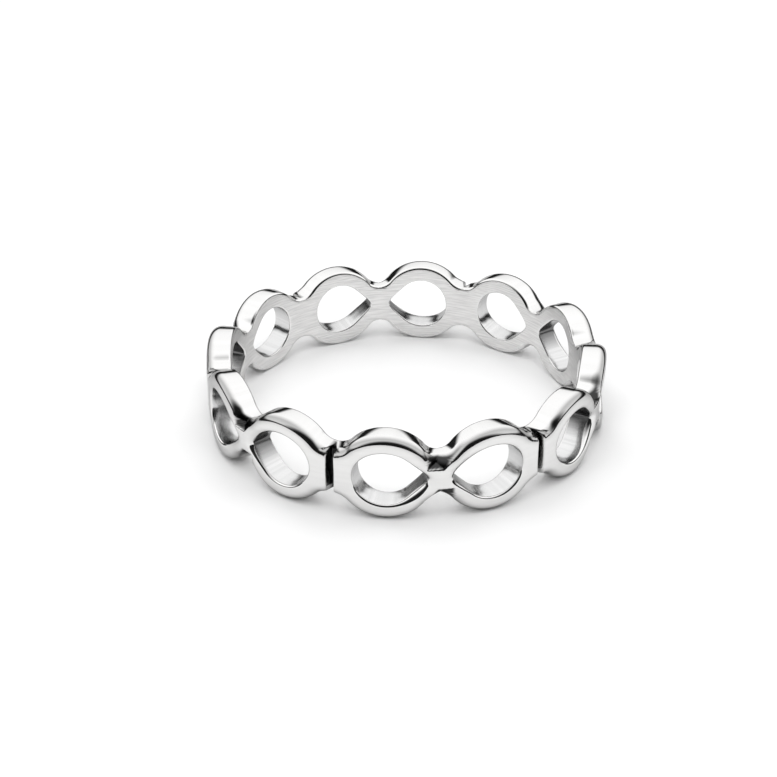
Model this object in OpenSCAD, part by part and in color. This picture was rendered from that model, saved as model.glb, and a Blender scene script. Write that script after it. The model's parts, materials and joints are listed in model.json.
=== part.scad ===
/* [Ring] */
// Inside diameter of the ring, which sets its size
inside_d = 17.2; // [16.4:0.1:18.2]
// Thickness of the band, from the finger to the polished face
band_t = 1.25; // [1.1:0.05:1.6]
// Height of the band over its lobes
band_h = 4.24; // [4:0.02:4.4]

/* [Lobes] */
// Width of the strand round an eye
strand_w = 0.79; // [0.7:0.01:0.9]
// Height of the neck where two infinity signs are soldered together
joint_neck_h = 2.24; // [2:0.02:2.6]
// Height of the neck where a sign's two strands cross
crossing_neck_h = 2; // [1.8:0.02:2.2]
// Distance from a crossing to where the straight sides of an eye would meet
eye_tip_gap = 0.3; // [0.2:0.01:0.4]

/* [Polished face] */
// How far the rounded shoulder reaches in from the edge of the band
shoulder_w = 0.36; // [0.3:0.01:0.45]
// How deep the rounded shoulder reaches down the edge of the band
shoulder_t = 0.65; // [0.4:0.01:0.8]
// Width of the rounding at an eye's edge
eye_edge_w = 0.09; // [0.06:0.01:0.12]
// How much wider it is where the strand on top leaves the crossing
worn_w = 0.28; // [0.2:0.01:0.3]
// Width of the groove between two signs, at the bore's radius
groove_w = 0.3; // [0.24:0.01:0.34]
// Depth of the groove between two signs
groove_t = 0.7; // [0.5:0.05:0.8]
// Width of each slanted side of that groove
groove_side_w = 0.11; // [0.08:0.01:0.14]

/* [Crossing] */
// Slope of the strand that runs on top
over_angle = 52; // [48:1:56]
// Half the width of its flat face
over_half_w = 0.19; // [0.15:0.01:0.25]
// Depth of the pocket where the other strand runs in under it
pocket_t = 0.42; // [0.3:0.01:0.5]
// Width of the pocket's side along the strand on top
pocket_side_w = 0.45; // [0.35:0.05:0.55]
// Distance from the middle of the crossing to where the pocket starts
pocket_reach = 0.6; // [0.5:0.05:0.7]
// Length over which the other strand sinks into the pocket
pocket_end_w = 0.5; // [0.4:0.05:0.6]
// Height over the middle of the crossing at which the pocket starts
pocket_low = 0.5; // [0.4:0.05:0.6]
// Height over which it reaches its full depth
pocket_rise = 0.25; // [0.2:0.05:0.35]

/* [Hidden] */

// Number of infinity signs round the ring, each with two lobes
signs = 6;
// The first crossing is at the front, so a joint lies on the +X axis
first_crossing = -90;
bore_r = inside_d / 2;
lobe_r = band_h / 2;
// The faceted body starts this far inside the bore, which is then cut true
bore_cut = 0.25;
core_r = bore_r - bore_cut;
deg_per_mm = 180 / (PI * bore_r);

// A lobe is drawn on the bore's wall, unrolled flat: x runs from the crossing to the joint
// and z up the ring's axis, with the eye's centre halfway along
lobe_len = 180 / signs / deg_per_mm;
mid_x = lobe_len / 2;
eye_r = lobe_r - strand_w;
eye_tip = mid_x - eye_tip_gap;

// Fillet that blends a lobe's circle into a neck: its radius and the height of its centre
function fillet_r(neck) = (mid_x * mid_x + neck * neck - lobe_r * lobe_r) / (2 * (lobe_r - neck));
joint_neck = joint_neck_h / 2;
crossing_neck = crossing_neck_h / 2;
joint_fillet = fillet_r(joint_neck);
crossing_fillet = fillet_r(crossing_neck);
joint_centre = [lobe_len, joint_neck + joint_fillet];
crossing_centre = [0, crossing_neck + crossing_fillet];

// Directions seen from the eye's centre: the corners of the two necks, and where the fillets end
joint_corner = atan2(joint_neck, mid_x);
crossing_corner = 180 - atan2(crossing_neck, mid_x);
joint_blend = atan2(joint_centre[1], mid_x);
crossing_blend = 180 - atan2(crossing_centre[1], mid_x);

// Columns over an eye: half the joint's line, the free edge up to its top and down again,
// and half the crossing's line; the columns under the eye are their mirror image
joint_steps = 3;
edge_steps = 6;
crossing_steps = 4;
upper_directions = concat(
    [for (i = [0:joint_steps - 1]) joint_corner * i / joint_steps],
    [for (i = [0:edge_steps - 1]) joint_corner + (90 - joint_corner) * i / edge_steps],
    [for (i = [0:edge_steps - 1]) 90 + (crossing_corner - 90) * i / edge_steps],
    [for (i = [0:crossing_steps - 1]) crossing_corner + (180 - crossing_corner) * i / crossing_steps]
);
directions = concat(
    upper_directions,
    [180],
    [for (i = [len(upper_directions) - 1:-1:1]) 360 - upper_directions[i]]
);
columns = len(directions);

// Rows from the eye out to the edge: turns of the eye's rounding, shares of the flat face
// between, and distances in from the edge or from the joint's line
eye_turns = [0, 45, 90];
middle_rows = [1 / 3, 2 / 3];
edge_rows = [for (a = [90, 60, 30, 0]) shoulder_w * (1 - cos(a))];
groove_rows = [groove_w, groove_w / 2, groove_w / 6, 0];
first_edge_row = len(eye_turns) + len(middle_rows);
rows = first_edge_row + len(edge_rows);
// Where an eye comes close to the edge, roundings keep to this share of the room there is
room_share = 0.7;

function along(direction, d) = [mid_x + d * cos(direction), d * sin(direction)];
function near_joint(direction) = direction < joint_corner || direction > 360 - joint_corner;

// Distance from the eye's centre to the eye's edge: a circle with two tangents to a blunt point
tip_turn = acos(eye_r / eye_tip);
blunt_turn = 7;
blunt_share = pow(blunt_turn / tip_turn, 2);
function eye_reach(direction) =
    let (turn = abs(direction - 180))
    turn > tip_turn ? eye_r
    : eye_r / cos(tip_turn - sqrt(blunt_turn * blunt_turn + turn * turn * (1 - blunt_share)));

// Distance from the eye's centre to a fillet's arc, whose centre is at c and radius r
function arc_reach(direction, c, r) =
    let (towards = (c[0] - mid_x) * cos(direction) + c[1] * abs(sin(direction)))
    towards - sqrt(towards * towards - (c[0] - mid_x) * (c[0] - mid_x) - c[1] * c[1] + r * r);

// Distance from the eye's centre to the lobe's outer edge, or to the line where it meets the next lobe
function edge_reach(direction) =
    let (up = min(direction, 360 - direction))
    up < joint_corner || up > crossing_corner ? mid_x / abs(cos(up))
    : up < joint_blend ? arc_reach(up, joint_centre, joint_fillet)
    : up > crossing_blend ? arc_reach(up, crossing_centre, crossing_fillet)
    : lobe_r;

// Distance of a point from the band's edge
function edge_distance(p) =
    let (q = [p[0], abs(p[1])], up = atan2(q[1], q[0] - mid_x))
    up < joint_blend ? norm(q - joint_centre) - joint_fillet
    : up > crossing_blend ? norm(q - crossing_centre) - crossing_fillet
    : lobe_r - norm([q[0] - mid_x, q[1]]);

function smooth_step(t) = let (s = max(0, min(1, t))) s * s * (3 - 2 * s);

// Share of the thickness left by the rounded shoulder
function shoulder(d) =
    let (s = max(0, min(1, d / shoulder_w)))
    1 - shoulder_t / band_t * (1 - sqrt(max(0, 1 - (1 - s) * (1 - s))));

// Depth of the groove that parts two signs
function groove(p) =
    let (inside = groove_w / 2 - (lobe_len - p[0]))
    groove_t * smooth_step(inside / groove_side_w + 0.5);

// Depth of the pocket beside the strand on top
function pocket(p) =
    let (
        beyond = p[1] * cos(over_angle) - p[0] * sin(over_angle) - over_half_w,
        inside = min(
            beyond / pocket_side_w,
            (p[0] + pocket_reach) / pocket_end_w,
            (p[1] - pocket_low) / pocket_rise
        )
    )
    pocket_t * max(0, min(1, inside));

// Radius of the polished face at a point; each crossing has a pocket above and one below
function face_r(p) =
    let (sunk = groove(p) + max(pocket(p), pocket(-p)))
    bore_r + (band_t - sunk) * shoulder(edge_distance(p));

// Width of the rounding at the eye's edge, widest a little above the eye's point
worn_turn = 22;
worn_spread = 32;
function eye_round(direction) =
    let (
        turn = (direction - 180 + worn_turn) / worn_spread,
        room = edge_reach(direction) - eye_reach(direction)
    )
    min(eye_edge_w + worn_w * exp(-turn * turn), room * room_share);

// Where row i of the column in this direction lies, from the eye's edge to the band's
function row_point(direction, i) =
    let (
        start = eye_reach(direction),
        end = edge_reach(direction),
        flat = start + eye_round(direction),
        edge = near_joint(direction) ? groove_rows : edge_rows,
        share = min(1, (end - flat) * room_share / edge[0]),
        d = i < len(eye_turns) ? start + eye_round(direction) * (1 - cos(eye_turns[i]))
            : i >= first_edge_row ? end - edge[i - first_edge_row] * share
            : flat + (end - edge[0] * share - flat) * middle_rows[i - len(eye_turns)]
    )
    along(direction, d);

// The eye's edge is rounded off by a quarter of an ellipse, this much deep for its width
round_slope = 0.7;
function row_radius(direction, i) =
    let (round_t = eye_round(direction) * round_slope)
    face_r(row_point(direction, i)) - (i < len(eye_turns) ? round_t * (1 - sin(eye_turns[i])) : 0);

// A column of points, up the eye's wall, over the face and down to the edge's foot
function column(direction) = concat(
    [let (p = row_point(direction, 0)) [p[0], p[1], core_r]],
    [for (i = [0:rows - 1]) let (p = row_point(direction, i)) [p[0], p[1], row_radius(direction, i)]],
    [let (p = row_point(direction, rows - 1)) [p[0], p[1], core_r]]
);
lobe = [for (direction = directions) column(direction)];
depth = rows + 2;

// Rolls a point up onto the ring; the second lobe of a sign is the first turned half round
function rolled(p, crossing, side) =
    let (a = crossing + side * p[0] * deg_per_mm)
    [p[2] * cos(a), p[2] * sin(a), side * p[1]];

lobes = 2 * signs;
function crossing_of(j) = first_crossing + 360 / signs * floor((j + 1) / 2);
function side_of(j) = j % 2 == 0 ? 1 : -1;

ring_points = [
    for (j = [0:lobes - 1])
        for (k = [0:columns - 1])
            for (i = [0:depth - 1])
                rolled(lobe[k][i], crossing_of(j), side_of(j))
];

// The last two points of a column on a joint's or a crossing's line are the next lobe's too
function on_joint(k) = k <= joint_steps || k >= columns - joint_steps;
function on_crossing(k) = abs(k - columns / 2) <= crossing_steps;
function point_at(j, k, i) =
    let (c = k % columns, shared = j % 2 == 1 && i >= rows && (on_joint(c) || on_crossing(c)))
    shared
        ? ((on_joint(c) ? j - 1 : (j + 1) % lobes) * columns + (columns - c) % columns) * depth + i
        : (j * columns + c) * depth + i;

function meets_next(k) = (on_joint(k) && on_joint((k + 1) % columns))
    || (on_crossing(k) && on_crossing((k + 1) % columns));

ring_faces = [
    for (j = [0:lobes - 1])
        for (k = [0:columns - 1])
            for (i = [0:depth - 1])
                if (i != rows || !meets_next(k))
                    let (n = (i + 1) % depth)
                    each [
                        [point_at(j, k, i), point_at(j, k, n), point_at(j, k + 1, n)],
                        [point_at(j, k, i), point_at(j, k + 1, n), point_at(j, k + 1, i)]
                    ]
];

// The whole band, cast as one piece, resting on its lobes
module infinity_band() {
    cutter_h = 2 * band_h;
    color("silver")
    translate([0, 0, lobe_r])
    difference() {
        polyhedron(points = ring_points, faces = ring_faces);
        cylinder(r = bore_r, h = cutter_h, center = true, $fn = 180);
    }
}

infinity_band();
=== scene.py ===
"""A polished silver infinity ring lying on a white table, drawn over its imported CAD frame."""

import json
import math

import bpy
import bmesh
import numpy as np
from mathutils import Matrix, Vector


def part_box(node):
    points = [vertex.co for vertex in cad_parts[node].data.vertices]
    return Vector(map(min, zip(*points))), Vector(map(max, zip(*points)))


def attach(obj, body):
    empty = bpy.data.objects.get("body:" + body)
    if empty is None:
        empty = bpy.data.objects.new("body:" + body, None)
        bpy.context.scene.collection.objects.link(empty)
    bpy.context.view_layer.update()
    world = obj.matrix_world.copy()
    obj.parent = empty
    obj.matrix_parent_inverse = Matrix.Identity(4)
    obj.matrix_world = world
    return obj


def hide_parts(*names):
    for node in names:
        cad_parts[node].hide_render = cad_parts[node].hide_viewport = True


# Lengths are in millimetres until a piece is placed, angles in degrees
MM = 0.001
NODE = "infinity_band"
# Keeps rounding from deciding a comparison, and a division from zero
TINY = 1e-9

# The signs; the finger hole, the thickness and the height come from the frame. Both necks are half heights.
SIGNS = 6
FIRST_CROSSING = -90
STRAND_W = 0.79
JOINT_NECK = 1.12
CROSSING_NECK = 1.0
EYE_TIP_GAP = 0.3
BLUNT_TURN = 7

# The polished face: its shoulder along the band's edge, and the rounded edge of each eye, which is worn
# wider by this much, this far round from the eye's point, over this spread
SHOULDER_W = 0.36
SHOULDER_T = 0.5
EYE_EDGE_W = 0.16
EYE_EDGE_SLOPE = 0.7
WORN_W = 0.34
WORN_TURN = 22
WORN_SPREAD = 32

# The inner edges, and the grooves between the signs
INNER_EDGE_R = 0.15
EYE_BACK_R = 0.075
GROOVE_W = 0.3
GROOVE_T = 0.7
GROOVE_SIDE_W = 0.08
# No rounding takes more than this share of the room it has
ROUND_SHARE = 0.7

# The pockets beside the strand on top, where the other strand runs in under it
OVER_ANGLE = 52
OVER_HALF_W = 0.19
POCKET_T = 0.42
POCKET_SIDE_W = 0.45
POCKET_END_W = 0.5
POCKET_X = -0.6
POCKET_Z = 0.5
POCKET_RISE = 0.25

# Columns round each eye and rows over each strand of the fine mesh
JOINT_STEPS = 15
EDGE_STEPS = 22
CROSSING_STEPS = 24
ROUND_STEPS = 4
EYE_ROUND_STEPS = 6
WALL_STEPS = 3
FACE_STEPS = 8
SHOULDER_STEPS = 14
INNER_STEPS = 5
# Points closer than this, in metres, are one where two lobes meet
WELD = 2e-7

# Finishes of the silver: tint, roughness, then the brush marks' length, width and depth in metres, and tone
POLISHED, INNER_FACE, EYE_WALL = range(3)
FINISHES = [
    ("polished_silver", (0.76, 0.757, 0.752), 0.07, 0.003, 0.0002, 0.0000003, 0.02),
    ("brushed_silver", (0.77, 0.765, 0.76), 0.36, 0.0012, 0.00006, 0.000006, 0.14),
    ("eye_wall_silver", (0.66, 0.66, 0.66), 0.18, 0.001, 0.0001, 0.000001, 0.06),
]
# The tint at grazing angles, which draws the dark outlines
EDGE_TINT = (0.55, 0.55, 0.55, 1)
# How fine the marks are, which part of their noise turns into tone, and how far they vary the roughness
MARK_DETAIL = 4
MARK_LIMITS = (0.3, 0.7)
ROUGHNESS_SPREAD = 0.3

# Painted shade, the dark that light leaves in the grooves and pockets, along the rims and into each eye's
# point:
# full at this depth of a pocket and this far from the band's edge, grey over the rim's width along the
# edge, and on the eye's wall over this turn from the eye's point
PAINTED_SHADE = (0.045, 0.045, 0.045, 1)
PAINTED_SHADE_ROUGHNESS = 0.1
SHADE_FULL_DEPTH = POCKET_T / 4
SHADE_EDGE_W = SHOULDER_W / 4
RIM_SHADE = 0.55
RIM_W = 0.5
POINT_SHADE = 0.8
POINT_TURN = 45

# The camera, fitted to the ring's outlines in the photo
CAMERA_AZIMUTH = -8.85
CAMERA_ELEVATION = 28.5
CAMERA_DISTANCE = 85.0
CAMERA_RIGHT = -0.86
CAMERA_UP = -0.54
FOCAL_PX = 1705
PHOTO_PX = 777
SENSOR = 36
CLIP_START = 0.001

# The studio: a white tent above a low height all round, fading out toward the camera, in a dim room. Both
# limits are shares of a direction's length, one of its height and one of its reach away from the camera.
TENT_LIGHT = 1.62
TENT_LOW = (0.2, 0.36)
TENT_FADE = (-0.7, -0.25)
ROOM_LIGHT = 0.02

# The fill light and the table, in watts and metres
FILL_POWER = 0.55
FILL_SIZE = 0.3
FILL_PLACE = (-0.05, -0.2, 0.3)
FLOOR_SIDE = 2.0
FLOOR_WHITE = (0.9, 0.9, 0.9, 1)
FLOOR_ROUGHNESS = 0.6
FLOOR_SHINE = 0.2


def sin(a):
    return np.sin(np.radians(a))


def cos(a):
    return np.cos(np.radians(a))


def atan2(y, x):
    return np.degrees(np.arctan2(y, x))


def smooth_step(t):
    s = np.clip(t, 0, 1)
    return s * s * (3 - 2 * s)


class Lobe:
    """One lobe of a sign, drawn on the bore's wall unrolled flat: x runs from the crossing to the joint
    and z up the ring's axis, with the eye's centre halfway along."""

    def __init__(self, bore_r, band_t, band_h):
        self.bore_r = bore_r
        self.band_t = band_t
        self.radius = band_h / 2
        self.length = math.pi * bore_r / SIGNS
        self.mid = self.length / 2
        self.eye_r = self.radius - STRAND_W
        self.tip_turn = math.degrees(math.acos(self.eye_r / (self.mid - EYE_TIP_GAP)))
        self.joint_fillet = self.fillet_r(JOINT_NECK)
        self.crossing_fillet = self.fillet_r(CROSSING_NECK)
        self.joint_centre = (self.length, JOINT_NECK + self.joint_fillet)
        self.crossing_centre = (0, CROSSING_NECK + self.crossing_fillet)
        self.joint_corner = float(atan2(JOINT_NECK, self.mid))
        self.crossing_corner = 180 - float(atan2(CROSSING_NECK, self.mid))
        self.joint_blend = float(atan2(self.joint_centre[1], self.mid))
        self.crossing_blend = 180 - float(atan2(self.crossing_centre[1], self.mid))

    def fillet_r(self, neck):
        """Radius of the fillet that blends the lobe's circle into a neck."""
        return (self.mid**2 + neck**2 - self.radius**2) / (2 * (self.radius - neck))

    def directions(self):
        """Directions of the columns round the eye, closer together beside the necks."""
        ease = np.sin(np.linspace(0, math.pi / 2, JOINT_STEPS, endpoint=False))
        joint = atan2(JOINT_NECK * ease, self.mid)
        edge = np.linspace(self.joint_corner, 90, EDGE_STEPS, endpoint=False)
        far_edge = np.linspace(90, self.crossing_corner, EDGE_STEPS, endpoint=False)
        ease = np.cos(np.linspace(0, math.pi / 2, CROSSING_STEPS, endpoint=False))
        crossing = 180 - atan2(CROSSING_NECK * ease, self.mid)
        upper = np.concatenate([joint, edge, far_edge, crossing])
        return np.concatenate([upper, [180], 360 - upper[:0:-1]])

    def eye_reach(self, direction):
        """Distance from the eye's centre to its edge: a circle with two tangents to a blunt point."""
        turn = np.abs(direction - 180)
        share = (BLUNT_TURN / self.tip_turn) ** 2
        blunt = np.sqrt(BLUNT_TURN**2 + turn**2 * (1 - share))
        return self.eye_r / cos(np.maximum(0, self.tip_turn - blunt) * (turn < self.tip_turn))

    def arc_reach(self, direction, centre, radius):
        """Distance from the eye's centre to a fillet's arc."""
        beside = centre[0] - self.mid
        towards = beside * cos(direction) + centre[1] * np.abs(sin(direction))
        return towards - np.sqrt(np.maximum(0, towards**2 - beside**2 - centre[1] ** 2 + radius**2))

    def edge_reach(self, direction):
        """Distance from the eye's centre to the lobe's outer edge, or to the next lobe's line."""
        up = np.minimum(direction, 360 - direction)
        on_line = (up < self.joint_corner) | (up > self.crossing_corner)
        line = self.mid / np.maximum(TINY, np.abs(cos(up)))
        joint = self.arc_reach(up, self.joint_centre, self.joint_fillet)
        crossing = self.arc_reach(up, self.crossing_centre, self.crossing_fillet)
        free = np.where(up > self.crossing_blend, crossing, self.radius)
        free = np.where(up < self.joint_blend, joint, free)
        return np.where(on_line, line, free)

    def edge_distance(self, x, z):
        """Distance of a point from the band's edge."""
        z = np.abs(z)
        up = atan2(z, x - self.mid)
        joint = np.hypot(x - self.joint_centre[0], z - self.joint_centre[1]) - self.joint_fillet
        crossing = np.hypot(x, z - self.crossing_centre[1]) - self.crossing_fillet
        circle = self.radius - np.hypot(x - self.mid, z)
        free = np.where(up > self.crossing_blend, crossing, circle)
        free = np.where(up < self.joint_blend, joint, free)
        return np.maximum(0, free)

    def groove(self, x):
        """Depth of the groove that parts two signs."""
        return GROOVE_T * smooth_step((GROOVE_W / 2 - (self.length - x)) / GROOVE_SIDE_W + 0.5)

    def pocket(self, x, z):
        """Depth of the pockets beside the strand on top; each is the other turned half round."""
        depth = 0
        for side in (1, -1):
            beyond = side * (z * cos(OVER_ANGLE) - x * sin(OVER_ANGLE)) - OVER_HALF_W
            end = side * x - POCKET_X
            rise = side * z - POCKET_Z
            inside = np.minimum(np.minimum(beyond / POCKET_SIDE_W, end / POCKET_END_W), rise / POCKET_RISE)
            depth = np.maximum(depth, POCKET_T * np.clip(inside, 0, 1))
        return depth

    def eye_round(self, direction):
        """Width of the rounding at the eye's edge, which is wide where the strand on top starts."""
        turn = (direction - 180 + WORN_TURN) / WORN_SPREAD
        return EYE_EDGE_W + WORN_W * np.exp(-(turn**2))

    def outer(self, x, z):
        """Radius of the polished face at a point."""
        s = np.clip(self.edge_distance(x, z) / SHOULDER_W, 0, 1)
        shoulder = 1 - SHOULDER_T / self.band_t * (1 - np.sqrt(np.maximum(0, 1 - (1 - s) ** 2)))
        return self.bore_r + (self.band_t - self.groove(x) - self.pocket(x, z)) * shoulder

    def inner(self, x, z):
        """Radius of the inner face at a point, with its edge rounded off."""
        s = np.clip(self.edge_distance(x, z) / INNER_EDGE_R, 0, 1)
        return self.bore_r + INNER_EDGE_R * (1 - np.sqrt(1 - (1 - s) ** 2))

    def face_painted_shade(self, x, z):
        """Painted shade on the outside: black in the grooves and the pockets and grey along the edge, but
        bright down the flank."""
        distance = self.edge_distance(x, z)
        near_face = smooth_step(distance / SHADE_EDGE_W)
        pocket = smooth_step(self.pocket(x, z) / SHADE_FULL_DEPTH)
        # Painted shade along the band's edge, grey over the rim's width
        rim = RIM_SHADE * smooth_step(1 - distance / RIM_W)
        return np.maximum(self.groove(x) / GROOVE_T, np.maximum(pocket, rim) * near_face)

    def painted_shade(self, x, z):
        """Painted shade at each point of the grid; the eye's wall is painted darker into the eye's point.
        """
        row = np.arange(x.shape[1])[None, :]
        on_wall = (row >= self.wall_rows[0]) & (row <= self.wall_rows[-1] + 1)
        outside = (row > self.wall_rows[-1] + 1) & (row <= self.edge_row)
        # Painted shade on the eye's wall, darkest at the eye's point
        point = smooth_step(1 - np.abs(self.directions()[:, None] - 180) / POINT_TURN)
        return self.face_painted_shade(x, z) * outside + POINT_SHADE * point * on_wall

    def grid(self):
        """Points of the lobe's surface: a column for each direction, each a loop round the strand."""
        direction = self.directions()[:, None]
        start = self.eye_reach(direction)
        end = self.edge_reach(direction)
        turns = np.linspace(0, 90, ROUND_STEPS + 1)[None, :]
        eye_turns = np.linspace(0, 90, EYE_ROUND_STEPS + 1)[None, :]
        shoulder_turns = np.linspace(90, 0, SHOULDER_STEPS + 1)[None, :]

        def place(reach):
            return self.mid + reach * cos(direction), reach * sin(direction)

        # Up the eye's wall: a rounded lower edge, the wall and a rounded upper edge
        reach = start + EYE_BACK_R * (1 - cos(turns))
        x, z = place(reach)
        low = (x, z, self.inner(x, z) + EYE_BACK_R * (1 - sin(turns)))
        x, z = place(start)
        width = np.minimum(self.eye_round(direction), (end - start) * ROUND_SHARE)
        fall = width * EYE_EDGE_SLOPE
        foot = self.bore_r + EYE_BACK_R
        top = self.outer(x, z) - fall
        share = np.linspace(0, 1, WALL_STEPS + 1)[None, 1:-1]
        wall = (x + 0 * share, z + 0 * share, foot + (top - foot) * share)
        x, z = place(start + width * (1 - cos(eye_turns)))
        high = (x, z, self.outer(x, z) - fall * (1 - sin(eye_turns)))

        # Over the face and down the shoulder
        reach_in = np.minimum(SHOULDER_W, (end - start - width) * ROUND_SHARE)
        shoulder = end - reach_in * (1 - cos(shoulder_turns))
        share = np.linspace(0, 1, FACE_STEPS + 1)[None, 1:-1]
        flat = start + width + (end - reach_in - start - width) * share
        x, z = place(np.concatenate([flat, shoulder], axis=1))
        face = (x, z, self.outer(x, z))

        # Back along the inner face, from its rounded outer edge to the eye
        rounded = end - INNER_EDGE_R * (1 - cos(turns))
        span = end - INNER_EDGE_R - (start + EYE_BACK_R)
        share = np.linspace(0, 1, INNER_STEPS + 1)[None, 1:-1]
        back = end - INNER_EDGE_R - span * share
        x, z = place(np.concatenate([rounded, back], axis=1))
        under = (x, z, self.inner(x, z))

        parts = [tuple(np.flip(c, 1) for c in low), wall, high, face, under]
        loops = [np.concatenate([p[n] for p in parts], axis=1) for n in range(3)]
        # The last row of the face, and which rows are the eye's wall
        sizes = [p[0].shape[1] for p in parts]
        self.edge_row = sum(sizes[:4]) - 1
        self.wall_rows = range(sizes[0] - 1, sum(sizes[:2]))
        return np.stack(loops, axis=2)


def rolled(points, crossing, side):
    """Rolls a lobe's points up onto the ring; the second lobe of a sign is the first turned half round."""
    x, z, r = points[..., 0], points[..., 1], points[..., 2]
    a = crossing + side * x * 180 / (math.pi * LOBE.bore_r)
    return np.stack([r * cos(a), r * sin(a), side * z + LOBE.radius], axis=-1)


def band_mesh():
    """The whole band as one closed mesh, resting on its lobes."""
    grid = LOBE.grid()
    columns, depth = grid.shape[:2]
    edge_row = LOBE.edge_row
    direction = LOBE.directions()
    up = np.minimum(direction, 360 - direction)
    on_joint = up <= LOBE.joint_corner + TINY
    on_crossing = up >= LOBE.crossing_corner - TINY
    # Painted shade for every point of the grid, stored on the mesh below
    painted_shade = LOBE.painted_shade(grid[..., 0], grid[..., 1])
    verts = []
    faces = []
    finishes = []
    for j in range(2 * SIGNS):
        crossing = FIRST_CROSSING + 360 / SIGNS * ((j + 1) // 2)
        side = 1 if j % 2 == 0 else -1
        verts.append(rolled(grid, crossing, side).reshape(-1, 3))
        base = j * columns * depth
        for k in range(columns):
            n = (k + 1) % columns
            open_side = (on_joint[k] and on_joint[n]) or (on_crossing[k] and on_crossing[n])
            for i in range(depth):
                if i == edge_row and open_side:
                    continue
                m = (i + 1) % depth
                here = base + k * depth
                beside = base + n * depth
                faces.append((here + i, here + m, beside + m, beside + i))
                if i in LOBE.wall_rows:
                    finishes.append(EYE_WALL)
                else:
                    polished = i <= edge_row or (i <= edge_row + ROUND_STEPS and not open_side)
                    finishes.append(POLISHED if polished else INNER_FACE)
    mesh = bpy.data.meshes.new(NODE + "_polished")
    mesh.from_pydata((np.concatenate(verts) * MM).tolist(), [], faces)
    mesh.polygons.foreach_set("material_index", finishes)
    # The painted shade, kept for each point
    store = mesh.attributes.new("painted_shade", "FLOAT", "POINT")
    store.data.foreach_set("value", np.tile(painted_shade.ravel(), 2 * SIGNS))
    work = bmesh.new()
    work.from_mesh(mesh)
    bmesh.ops.remove_doubles(work, verts=work.verts, dist=WELD)
    work.to_mesh(mesh)
    work.free()
    mesh.shade_smooth()
    return mesh


def math_node(nodes, links, operation, *values):
    """A Math node fed with sockets or numbers; returns its result."""
    node = nodes.new("ShaderNodeMath")
    node.operation = operation
    for socket, value in zip(node.inputs, values):
        if isinstance(value, (int, float)):
            socket.default_value = value
        else:
            links.new(value, socket)
    return node.outputs[0]


def smooth_range(nodes, links, value, start, end):
    """Runs smoothly from 0 at start to 1 at end."""
    node = nodes.new("ShaderNodeMapRange")
    node.interpolation_type = "SMOOTHSTEP"
    node.inputs["From Min"].default_value = start
    node.inputs["From Max"].default_value = end
    links.new(value, node.inputs["Value"])
    return node.outputs["Result"]


def nodes_of(material):
    material.use_nodes = True
    return material.node_tree.nodes, material.node_tree.links


def streaks(nodes, links, long, wide):
    """Noise drawn out along the ring, as brushing round the band leaves it: long and wide in metres."""
    place = nodes.new("ShaderNodeTexCoord")
    split = nodes.new("ShaderNodeSeparateXYZ")
    links.new(place.outputs["Object"], split.inputs[0])
    turn = math_node(nodes, links, "ARCTAN2", split.outputs["Y"], split.outputs["X"])
    join = nodes.new("ShaderNodeCombineXYZ")
    links.new(math_node(nodes, links, "MULTIPLY", turn, LOBE.bore_r * MM / long), join.inputs["X"])
    links.new(math_node(nodes, links, "MULTIPLY", split.outputs["Z"], 1 / wide), join.inputs["Y"])
    noise = nodes.new("ShaderNodeTexNoise")
    noise.inputs["Scale"].default_value = 1
    noise.inputs["Detail"].default_value = MARK_DETAIL
    links.new(join.outputs[0], noise.inputs["Vector"])
    return noise.outputs["Fac"]


def silver(name, tint, roughness, mark_long, mark_wide, mark_depth, mark_tone):
    """Silver with fine marks round the band: their length, width and depth in metres and their tone."""
    material = bpy.data.materials.new(name)
    nodes, links = nodes_of(material)
    shader = nodes["Principled BSDF"]
    shader.inputs["Metallic"].default_value = 1
    shader.inputs["Specular Tint"].default_value = EDGE_TINT
    marks = streaks(nodes, links, mark_long, mark_wide)
    tone = nodes.new("ShaderNodeMix")
    tone.data_type = "RGBA"
    tone.inputs["A"].default_value = (*(c * (1 - mark_tone) for c in tint), 1)
    tone.inputs["B"].default_value = (*(min(1, c * (1 + mark_tone)) for c in tint), 1)
    links.new(smooth_range(nodes, links, marks, *MARK_LIMITS), tone.inputs["Factor"])
    # Painted shade from the mesh: mixes the silver toward near black and makes it a little rougher
    dark = nodes.new("ShaderNodeAttribute")
    dark.attribute_name = "painted_shade"
    shaded_tone = nodes.new("ShaderNodeMix")
    shaded_tone.data_type = "RGBA"
    shaded_tone.inputs["B"].default_value = PAINTED_SHADE
    links.new(dark.outputs["Fac"], shaded_tone.inputs["Factor"])
    links.new(tone.outputs["Result"], shaded_tone.inputs["A"])
    links.new(shaded_tone.outputs["Result"], shader.inputs["Base Color"])
    spread = nodes.new("ShaderNodeMapRange")
    spread.inputs["To Min"].default_value = roughness * (1 - ROUGHNESS_SPREAD)
    spread.inputs["To Max"].default_value = roughness * (1 + ROUGHNESS_SPREAD)
    links.new(marks, spread.inputs["Value"])
    rougher = math_node(nodes, links, "MULTIPLY", dark.outputs["Fac"], PAINTED_SHADE_ROUGHNESS)
    rough = math_node(nodes, links, "ADD", rougher, spread.outputs["Result"])
    links.new(rough, shader.inputs["Roughness"])
    bump = nodes.new("ShaderNodeBump")
    bump.inputs["Strength"].default_value = 1
    bump.inputs["Distance"].default_value = mark_depth
    links.new(marks, bump.inputs["Height"])
    links.new(bump.outputs["Normal"], shader.inputs["Normal"])
    return material


def floor_piece():
    """The plain white table, which is no part of the ring."""
    bpy.ops.mesh.primitive_plane_add(size=FLOOR_SIDE)
    floor = bpy.context.object
    floor.name = "table"
    material = bpy.data.materials.new("white_table")
    nodes, links = nodes_of(material)
    shader = nodes["Principled BSDF"]
    shader.inputs["Base Color"].default_value = FLOOR_WHITE
    shader.inputs["Roughness"].default_value = FLOOR_ROUGHNESS
    shader.inputs["Specular IOR Level"].default_value = FLOOR_SHINE
    floor.data.materials.append(material)


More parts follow.
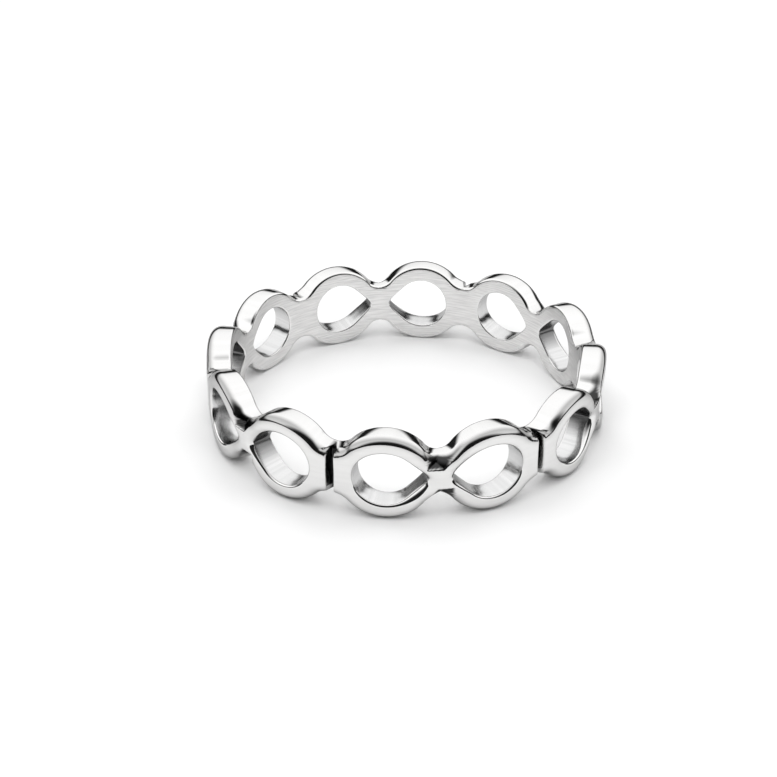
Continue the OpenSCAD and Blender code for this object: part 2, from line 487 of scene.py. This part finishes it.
def camera_axes():
    """The camera's own right, up and back."""
    back = Vector((
        sin(CAMERA_AZIMUTH) * cos(CAMERA_ELEVATION),
        -cos(CAMERA_AZIMUTH) * cos(CAMERA_ELEVATION),
        sin(CAMERA_ELEVATION),
    ))
    right = Vector((cos(CAMERA_AZIMUTH), sin(CAMERA_AZIMUTH), 0))
    return right, back.cross(right), back


def place_camera():
    """The photo's camera, a distance back from the middle of the ring and a little aside."""
    right, up, back = camera_axes()
    camera = bpy.data.cameras.new("camera")
    camera.sensor_width = SENSOR
    camera.lens = FOCAL_PX / PHOTO_PX * SENSOR
    camera.clip_start = CLIP_START
    piece = bpy.data.objects.new("camera", camera)
    bpy.context.scene.collection.objects.link(piece)
    middle = Vector((0, 0, LOBE.radius))
    place = CAMERA_DISTANCE * back + CAMERA_RIGHT * right + CAMERA_UP * up + middle
    turn = Matrix((right, up, back)).transposed().to_4x4()
    piece.matrix_world = Matrix.Translation(place * MM) @ turn
    bpy.context.scene.camera = piece


def fill_light():
    """A wide soft light on the camera's side that lifts the table's shadow."""
    light = bpy.data.lights.new("fill", "AREA")
    light.energy = FILL_POWER
    light.size = FILL_SIZE
    piece = bpy.data.objects.new("fill", light)
    bpy.context.scene.collection.objects.link(piece)
    piece.location = FILL_PLACE
    piece.rotation_euler = (-Vector(FILL_PLACE)).to_track_quat("-Z", "Y").to_euler()
    piece.visible_glossy = False


def light_world():
    """A white tent that fades out toward the camera, in a dim room."""
    world = bpy.data.worlds.new("studio")
    bpy.context.scene.world = world
    world.use_nodes = True
    nodes, links = world.node_tree.nodes, world.node_tree.links
    nodes.clear()
    place = nodes.new("ShaderNodeTexCoord")
    out = nodes.new("ShaderNodeOutputWorld")
    back = nodes.new("ShaderNodeBackground")

    def along(axis):
        dot = nodes.new("ShaderNodeVectorMath")
        dot.operation = "DOT_PRODUCT"
        dot.inputs[1].default_value = axis
        links.new(place.outputs["Generated"], dot.inputs[0])
        return dot.outputs["Value"]

    high = smooth_range(nodes, links, along((0, 0, 1)), *TENT_LOW)
    away = smooth_range(nodes, links, along((-sin(CAMERA_AZIMUTH), cos(CAMERA_AZIMUTH), 0)), *TENT_FADE)
    tent = math_node(nodes, links, "MULTIPLY", high, away)
    light = math_node(nodes, links, "MULTIPLY_ADD", tent, TENT_LIGHT, ROOM_LIGHT)
    links.new(light, back.inputs["Strength"])
    links.new(back.outputs["Background"], out.inputs["Surface"])


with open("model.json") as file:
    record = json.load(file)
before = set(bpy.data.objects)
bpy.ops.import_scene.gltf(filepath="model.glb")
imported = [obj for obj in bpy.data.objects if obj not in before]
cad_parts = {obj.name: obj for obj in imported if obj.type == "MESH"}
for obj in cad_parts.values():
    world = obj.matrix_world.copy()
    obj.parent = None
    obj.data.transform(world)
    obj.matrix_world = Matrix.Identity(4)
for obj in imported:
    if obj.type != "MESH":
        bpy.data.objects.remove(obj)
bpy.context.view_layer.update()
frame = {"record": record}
corner, far_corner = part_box(NODE)
bore = frame["record"]["mounts"][0]["dims"]["r_mm"]
LOBE = Lobe(bore, (far_corner.x - corner.x) / 2 / MM - bore, (far_corner.z - corner.z) / MM)

band = bpy.data.objects.new("silver_band", band_mesh())
bpy.context.scene.collection.objects.link(band)
for finish in FINISHES:
    band.data.materials.append(silver(*finish))
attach(band, "root")
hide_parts(NODE)

floor_piece()
light_world()
fill_light()
place_camera()
bpy.context.scene.view_settings.view_transform = "Standard"
